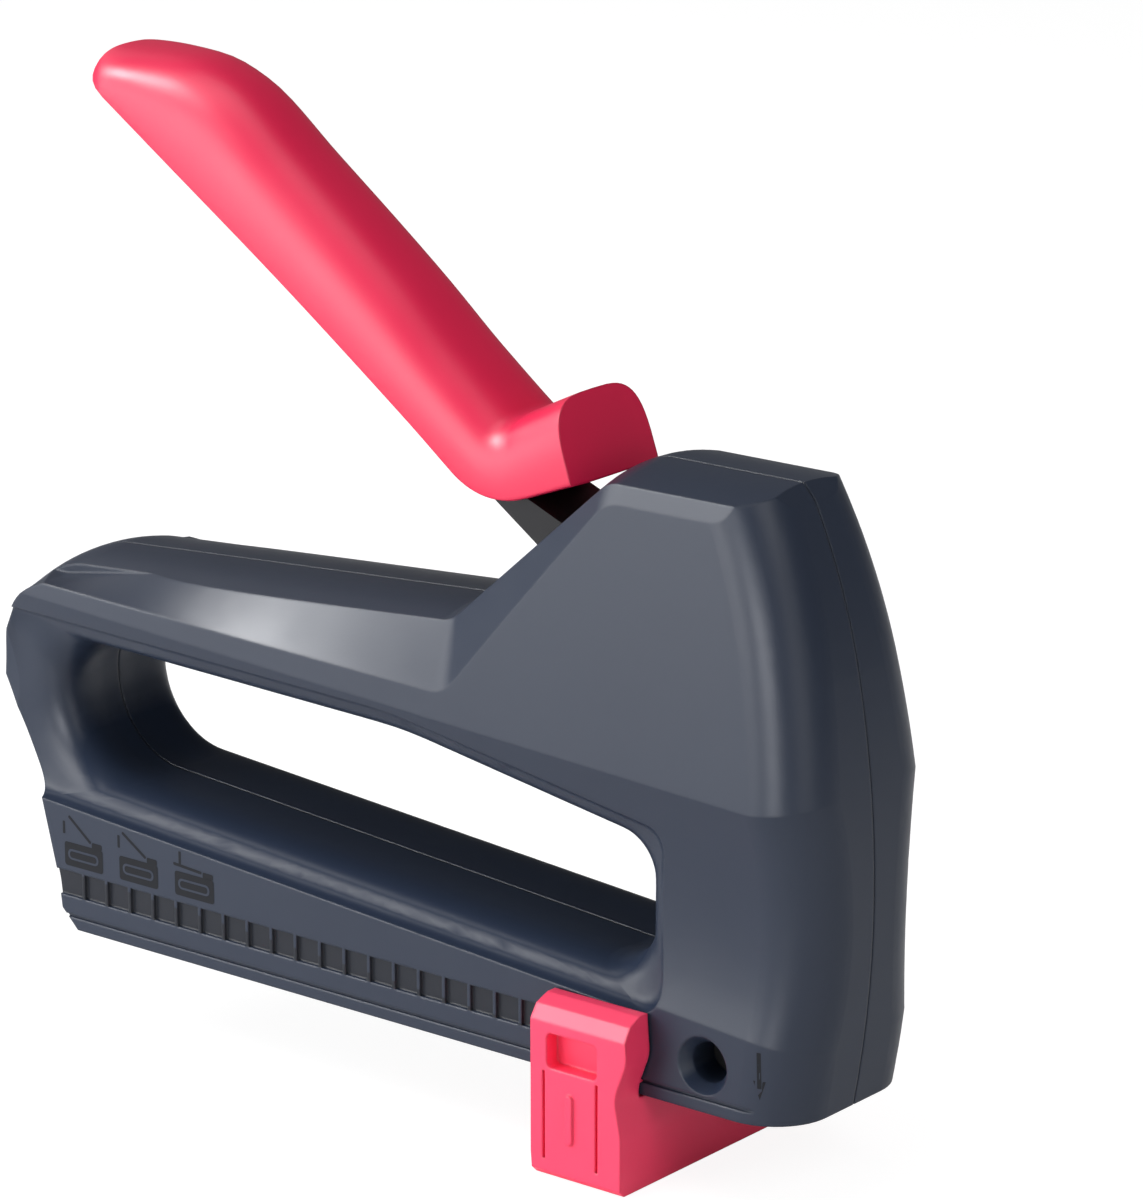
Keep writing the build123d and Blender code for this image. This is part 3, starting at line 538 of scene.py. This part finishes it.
# %% Marks: the arrow
arrow_x, arrow_top_z, arrow_tip_z = 0.0006, 0.0117, 0.0042
head_length, head_width, shaft_width = 0.0030, 0.0019, 0.00065
shaft_length = arrow_top_z - arrow_tip_z - 0.6 * head_length
inlay("arrow_shaft", bar(shaft_width, shaft_length, 0.0001), arrow_x, arrow_top_z - shaft_length / 2)
barb = bmesh.new()
bmesh.ops.create_circle(barb, cap_ends=True, segments=3, radius=head_length / 1.5,
                        matrix=Matrix.Rotation(math.radians(90), 4, "X") @ Matrix.Rotation(math.pi, 4, "Z"))
bmesh.ops.scale(barb, verts=barb.verts, vec=(head_width / (head_length * 1.155), 1, 1))
inlay("arrow_head", barb, arrow_x, arrow_tip_z + head_length / 1.5)
print("arrow from z", round(1000 * arrow_top_z, 1), "to", round(1000 * arrow_tip_z, 1), "mm")

# %% [markdown]
# ### The usage pictures
# Each picture is a small side view of the tool: a body with a rounded opening, a head, and a lever
# raised, half lowered or closed. A short upright stroke stands beside it.

# %% Marks: the usage pictures
picture_pitch, picture_rise = 0.0119, 0.0001
first_picture_x, first_picture_z = -0.1337, 0.0127
body_length, body_height = 0.0083, 0.0040
lever_length, lever_width = 0.0060, 0.0005
lever_turns = (38, 33, 4)
stroke_shifts = (0.0, 0.0, 0.0012)
for i, (lever_turn, stroke_shift) in enumerate(zip(lever_turns, stroke_shifts)):
    x, z = first_picture_x + i * picture_pitch, first_picture_z + i * picture_rise
    inlay(f"picture_body_{i}", bar(body_length, body_height, 0.0005), x, z)
    inlay(f"picture_head_{i}", bar(0.0022, 0.0010, 0.0003), x + 0.0029, z + 0.0024)
    inlay(f"picture_rim_{i}", bar(body_length - 0.0017, 0.0018, 0.0008), x - 0.0001, z,
          finish=housing_plastic, layer=2)
    inlay(f"picture_slot_{i}", bar(body_length - 0.0025, 0.0011, 0.0005), x - 0.0001, z, layer=3)
    lean = math.radians(lever_turn)
    inlay(f"picture_lever_{i}", bar(lever_length, lever_width, 0.0002),
          x + 0.0016 - lever_length / 2 * math.cos(lean), z + 0.0027 + lever_length / 2 * math.sin(lean),
          turn=lever_turn)
    inlay(f"picture_staple_{i}", bar(0.0005, 0.0021, 0.0001), x - 0.0042 + stroke_shift, z + 0.0043)
print("pictures at x", [round(1000 * (first_picture_x + i * picture_pitch), 1) for i in range(3)], "mm")

# %% [markdown]
# ## The floor
# The tool stands on a plain white floor in a light tent. For the camera the floor is white by itself,
# so no lamp has to burn it out, and a part of the floor's own shading keeps the soft shadow.

# %% Floor
white_strength, glossy_share, shading_kept = 1.28, 0.12, 0.3


def white_for_camera(tree, shading, keep):
    """Mixes white light, seen by the camera and faintly in reflections, over a share of the shading."""
    ray = add(tree, "ShaderNodeLightPath")
    glint = add(tree, "ShaderNodeMath", {"operation": "MULTIPLY"}, _0=(ray, "Is Glossy Ray"),
                _1=glossy_share)
    seen = add(tree, "ShaderNodeMath", {"operation": "MAXIMUM"}, _0=(ray, "Is Camera Ray"), _1=(glint, 0))
    seen = add(tree, "ShaderNodeMath", {"operation": "MAXIMUM"}, _0=(seen, 0),
               _1=(ray, "Is Transmission Ray"))
    share = add(tree, "ShaderNodeMath", {"operation": "MULTIPLY"}, _0=(seen, 0), _1=1 - keep)
    white = add(tree, "ShaderNodeEmission", Color=(1, 1, 1, 1), Strength=white_strength)
    return add(tree, "ShaderNodeMixShader", _0=(share, 0), _1=(shading, 0), _2=(white, 0))


floor_material, tree = new_material("white_paper_floor")
paper = add(tree, "ShaderNodeBsdfDiffuse", Color=linear("f4f4f4"))
mixed = white_for_camera(tree, paper, shading_kept)
add(tree, "ShaderNodeOutputMaterial", Surface=(mixed, 0))

paper_sheet = bmesh.new()
bmesh.ops.create_grid(paper_sheet, x_segments=1, y_segments=1, size=3.0,
                      matrix=Matrix.Translation((0, 0, cad_low.z - 0.0002)))
floor_mesh = bpy.data.meshes.new("floor")
paper_sheet.to_mesh(floor_mesh)
paper_sheet.free()
floor = bpy.data.objects.new("floor", floor_mesh)
bpy.context.scene.collection.objects.link(floor)
floor_mesh.materials.append(floor_material)
print("floor at z", round(1000 * cad_low.z, 1), "mm")

# %% [markdown]
# ## The light
# The tent's own light is dim, though the camera sees it white. Soft square lamps light the sides, the
# nose and the top. Two more give highlights only, on the handle's facet and the front corner, and add
# nothing to the shading.

# %% Light
tent_strength = 0.16
bpy.context.scene.view_settings.view_transform = "Standard"
world = bpy.data.worlds.new("light_tent")
bpy.context.scene.world = world
world.use_nodes = True
world.node_tree.nodes.clear()
tent = add(world.node_tree, "ShaderNodeBackground", Color=(1, 1, 1, 1), Strength=tent_strength)
ray = add(world.node_tree, "ShaderNodeLightPath")
sky = add(world.node_tree, "ShaderNodeBackground", Color=(1, 1, 1, 1), Strength=1.0)
choose = add(world.node_tree, "ShaderNodeMixShader", _0=(ray, "Is Camera Ray"), _1=(tent, 0), _2=(sky, 0))
add(world.node_tree, "ShaderNodeOutputWorld", Surface=(choose, 0))

middle = (cad_low + cad_high) / 2
lamp_distance = 0.95


def softbox(name, azimuth, elevation, size, watts, gleam_only=False):
    """A square lamp that points at the tool. Azimuth 0 faces its near side and 90 its nose, in degrees."""
    turn, tilt = math.radians(azimuth), math.radians(elevation)
    away = Vector((math.sin(turn) * math.cos(tilt), -math.cos(turn) * math.cos(tilt), math.sin(tilt)))
    lamp = bpy.data.lights.new(name, "AREA")
    lamp.size, lamp.energy = size, watts
    holder = bpy.data.objects.new(name, lamp)
    holder.location = middle + lamp_distance * away
    holder.rotation_mode = "QUATERNION"
    holder.rotation_quaternion = (-away).to_track_quat("-Z", "Y")
    holder.visible_diffuse = not gleam_only
    bpy.context.scene.collection.objects.link(holder)


softbox("side_key", -20, 10, 0.45, 4.2)
softbox("side_fill", -50, 6, 0.45, 2.8)
softbox("rear_key", -64, 34, 0.45, 3.4)
softbox("rear_rim", -110, 35, 0.45, 0.4)
softbox("nose_fill", 70, 4, 0.45, 0.9)
softbox("nose_top", 70, 38, 0.45, 1.5)
softbox("top_fill", -20, 78, 0.6, 2.6)
softbox("facet_gleam", -48, 43, 0.26, 8.0, gleam_only=True)
softbox("corner_gleam", 17, 5, 0.3, 3.0, gleam_only=True)
